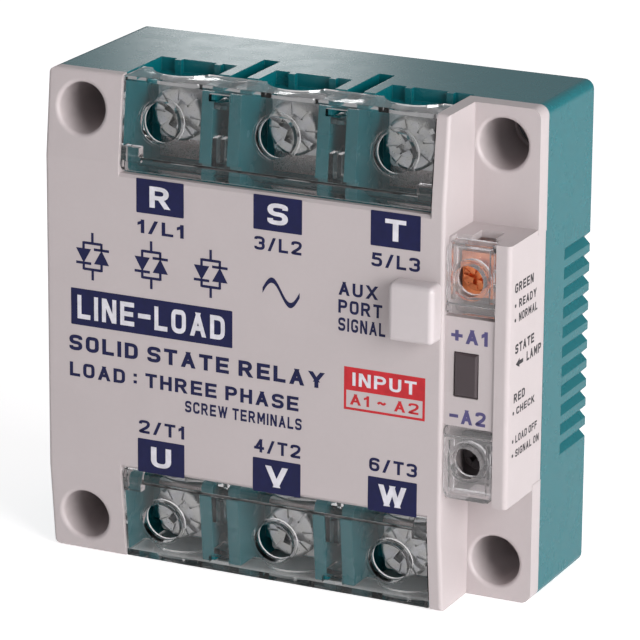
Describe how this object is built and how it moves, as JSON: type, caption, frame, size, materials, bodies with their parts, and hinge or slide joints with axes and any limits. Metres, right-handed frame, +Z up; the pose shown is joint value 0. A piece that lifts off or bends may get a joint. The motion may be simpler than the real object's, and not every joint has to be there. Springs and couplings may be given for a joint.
{
  "type": "solid state relay",
  "caption": "Square panel-mount solid state relay with an aluminium base, screw terminals under hinged clear covers, a status lamp and a capped signal port.",
  "frame": {"origin": "centre of the rear mounting face", "axes": "+Y points out of the rear face into the panel, +Z is up, +X is right seen from the front"},
  "size_m": [0.1, 0.0445, 0.1],
  "materials": {
    "teal_plastic": "fine spark-eroded texture",
    "white_plastic": "satin moulded",
    "clear_plastic": "polished clear",
    "smoked_lens": "polished",
    "cap_plastic": "satin moulded",
    "aluminium": "milled",
    "zinc_steel": "bright zinc plated",
    "plated_bar": "tin plated",
    "copper": "bare copper",
    "copper_zinc": "copper flashed",
    "brass": "bright",
    "dark_steel": "black zinc plated",
    "black_plastic": "moulded",
    "ceramic": "sintered",
    "silicon": "polished",
    "board": "solder mask",
    "varistor_blue": "dipped epoxy",
    "capacitor_box": "moulded",
    "resistor_body": "coated",
    "opto_body": "moulded",
    "capacitor_can": "sleeved can",
    "led_body": "diffused"
  },
  "bodies": {
    "casing": {"housing": "teal_plastic", "front_cover": "white_plastic", "base_plate": "aluminium", "mounting_bushes": "zinc_steel", "assembly_screws": "zinc_steel", "terminal_nuts": "zinc_steel", "control_nuts": "zinc_steel", "lamp_window": "smoked_lens", "status_led": "led_body", "signal_pins": "brass", "signal_socket": "black_plastic", "ceramic_substrates": "ceramic", "copper_pads": "copper", "thyristor_chips": "silicon", "chip_clips": "copper", "gate_pins": "copper", "thermal_sensor": "black_plastic", "control_board": "board", "board_screws": "zinc_steel", "varistors": "varistor_blue", "snubber_capacitors": "capacitor_box", "snubber_resistors": "resistor_body", "opto_couplers": "opto_body", "bridge_rectifier": "black_plastic", "input_capacitor": "capacitor_can", "terminal_bar_r": "plated_bar", "terminal_bar_s": "plated_bar", "terminal_bar_t": "plated_bar", "terminal_bar_u": "plated_bar", "terminal_bar_v": "plated_bar", "terminal_bar_w": "plated_bar", "control_terminal_a1": "copper", "control_terminal_a2": "dark_steel"},
    "upper_terminal_cover": {"upper_terminal_cover": "clear_plastic"},
    "lower_terminal_cover": {"lower_terminal_cover": "clear_plastic"},
    "control_cover_a1": {"control_cover_a1": "clear_plastic"},
    "control_cover_a2": {"control_cover_a2": "clear_plastic"},
    "signal_port_cap": {"signal_port_cap": "cap_plastic"},
    "terminal_clamp_r": {"terminal_clamp_r": "zinc_steel"},
    "terminal_clamp_s": {"terminal_clamp_s": "zinc_steel"},
    "terminal_clamp_t": {"terminal_clamp_t": "zinc_steel"},
    "terminal_clamp_u": {"terminal_clamp_u": "zinc_steel"},
    "terminal_clamp_v": {"terminal_clamp_v": "zinc_steel"},
    "terminal_clamp_w": {"terminal_clamp_w": "zinc_steel"},
    "terminal_screw_r": {"terminal_screw_r": "zinc_steel"},
    "terminal_screw_s": {"terminal_screw_s": "zinc_steel"},
    "terminal_screw_t": {"terminal_screw_t": "zinc_steel"},
    "terminal_screw_u": {"terminal_screw_u": "zinc_steel"},
    "terminal_screw_v": {"terminal_screw_v": "zinc_steel"},
    "terminal_screw_w": {"terminal_screw_w": "zinc_steel"},
    "control_clamp_a1": {"control_clamp_a1": "copper_zinc"},
    "control_clamp_a2": {"control_clamp_a2": "dark_steel"},
    "control_screw_a1": {"control_screw_a1": "copper_zinc"},
    "control_screw_a2": {"control_screw_a2": "dark_steel"}
  },
  "joints": [
    {"name": "upper_cover_hinge", "type": "hinge", "parent": "casing", "child": "upper_terminal_cover", "pos_m": [0, -0.0387, 0.0323], "axis": [1, 0, 0], "range_deg": [0, 100]},
    {"name": "lower_cover_hinge", "type": "hinge", "parent": "casing", "child": "lower_terminal_cover", "pos_m": [0, -0.0387, -0.0323], "axis": [-1, 0, 0], "range_deg": [0, 100]},
    {"name": "control_cover_a1_hinge", "type": "hinge", "parent": "casing", "child": "control_cover_a1", "pos_m": [0.0416, -0.0387, 0.0124], "axis": [1, 0, 0], "range_deg": [0, 95]},
    {"name": "control_cover_a2_hinge", "type": "hinge", "parent": "casing", "child": "control_cover_a2", "pos_m": [0.0416, -0.0387, -0.0124], "axis": [-1, 0, 0], "range_deg": [0, 95]},
    {"name": "signal_cap_pull", "type": "slide", "parent": "casing", "child": "signal_port_cap", "axis": [0, -1, 0], "range_m": [0, 0.008]},
    {"name": "terminal_clamp_r_lift", "type": "slide", "parent": "casing", "child": "terminal_clamp_r", "axis": [0, -1, 0], "range_m": [0, 0.0026]},
    {"name": "terminal_screw_r_turn", "type": "hinge", "parent": "terminal_clamp_r", "child": "terminal_screw_r", "pos_m": [-0.025, -0.0315, 0.0414], "axis": [0, -1, 0], "range_deg": [0, 1175]},
    {"name": "terminal_clamp_s_lift", "type": "slide", "parent": "casing", "child": "terminal_clamp_s", "axis": [0, -1, 0], "range_m": [0, 0.0026]},
    {"name": "terminal_screw_s_turn", "type": "hinge", "parent": "terminal_clamp_s", "child": "terminal_screw_s", "pos_m": [0, -0.0315, 0.0414], "axis": [0, -1, 0], "range_deg": [0, 1175]},
    {"name": "terminal_clamp_t_lift", "type": "slide", "parent": "casing", "child": "terminal_clamp_t", "axis": [0, -1, 0], "range_m": [0, 0.0026]},
    {"name": "terminal_screw_t_turn", "type": "hinge", "parent": "terminal_clamp_t", "child": "terminal_screw_t", "pos_m": [0.025, -0.0315, 0.0414], "axis": [0, -1, 0], "range_deg": [0, 1175]},
    {"name": "terminal_clamp_u_lift", "type": "slide", "parent": "casing", "child": "terminal_clamp_u", "axis": [0, -1, 0], "range_m": [0, 0.0026]},
    {"name": "terminal_screw_u_turn", "type": "hinge", "parent": "terminal_clamp_u", "child": "terminal_screw_u", "pos_m": [-0.025, -0.0315, -0.0414], "axis": [0, -1, 0], "range_deg": [0, 1175]},
    {"name": "terminal_clamp_v_lift", "type": "slide", "parent": "casing", "child": "terminal_clamp_v", "axis": [0, -1, 0], "range_m": [0, 0.0026]},
    {"name": "terminal_screw_v_turn", "type": "hinge", "parent": "terminal_clamp_v", "child": "terminal_screw_v", "pos_m": [0, -0.0315, -0.0414], "axis": [0, -1, 0], "range_deg": [0, 1175]},
    {"name": "terminal_clamp_w_lift", "type": "slide", "parent": "casing", "child": "terminal_clamp_w", "axis": [0, -1, 0], "range_m": [0, 0.0026]},
    {"name": "terminal_screw_w_turn", "type": "hinge", "parent": "terminal_clamp_w", "child": "terminal_screw_w", "pos_m": [0.025, -0.0315, -0.0414], "axis": [0, -1, 0], "range_deg": [0, 1175]},
    {"name": "control_clamp_a1_lift", "type": "slide", "parent": "casing", "child": "control_clamp_a1", "axis": [0, -1, 0], "range_m": [-0.00195, 0.0004]},
    {"name": "control_screw_a1_turn", "type": "hinge", "parent": "control_clamp_a1", "child": "control_screw_a1", "pos_m": [0.0412, -0.034, 0.0183], "axis": [0, -1, 0], "range_deg": [-1175, 245]},
    {"name": "control_clamp_a2_lift", "type": "slide", "parent": "casing", "child": "control_clamp_a2", "axis": [0, -1, 0], "range_m": [0, 0.0024]},
    {"name": "control_screw_a2_turn", "type": "hinge", "parent": "control_clamp_a2", "child": "control_screw_a2", "pos_m": [0.0412, -0.034, -0.0183], "axis": [0, -1, 0], "range_deg": [0, 1445]}
  ],
  "couplings": [
    {"joint": "terminal_screw_r_turn", "follows": "terminal_clamp_r_lift", "rad_per_m": 7854},
    {"joint": "terminal_screw_s_turn", "follows": "terminal_clamp_s_lift", "rad_per_m": 7854},
    {"joint": "terminal_screw_t_turn", "follows": "terminal_clamp_t_lift", "rad_per_m": 7854},
    {"joint": "terminal_screw_u_turn", "follows": "terminal_clamp_u_lift", "rad_per_m": 7854},
    {"joint": "terminal_screw_v_turn", "follows": "terminal_clamp_v_lift", "rad_per_m": 7854},
    {"joint": "terminal_screw_w_turn", "follows": "terminal_clamp_w_lift", "rad_per_m": 7854},
    {"joint": "control_screw_a1_turn", "follows": "control_clamp_a1_lift", "rad_per_m": 10472},
    {"joint": "control_screw_a2_turn", "follows": "control_clamp_a2_lift", "rad_per_m": 10472}
  ]
}
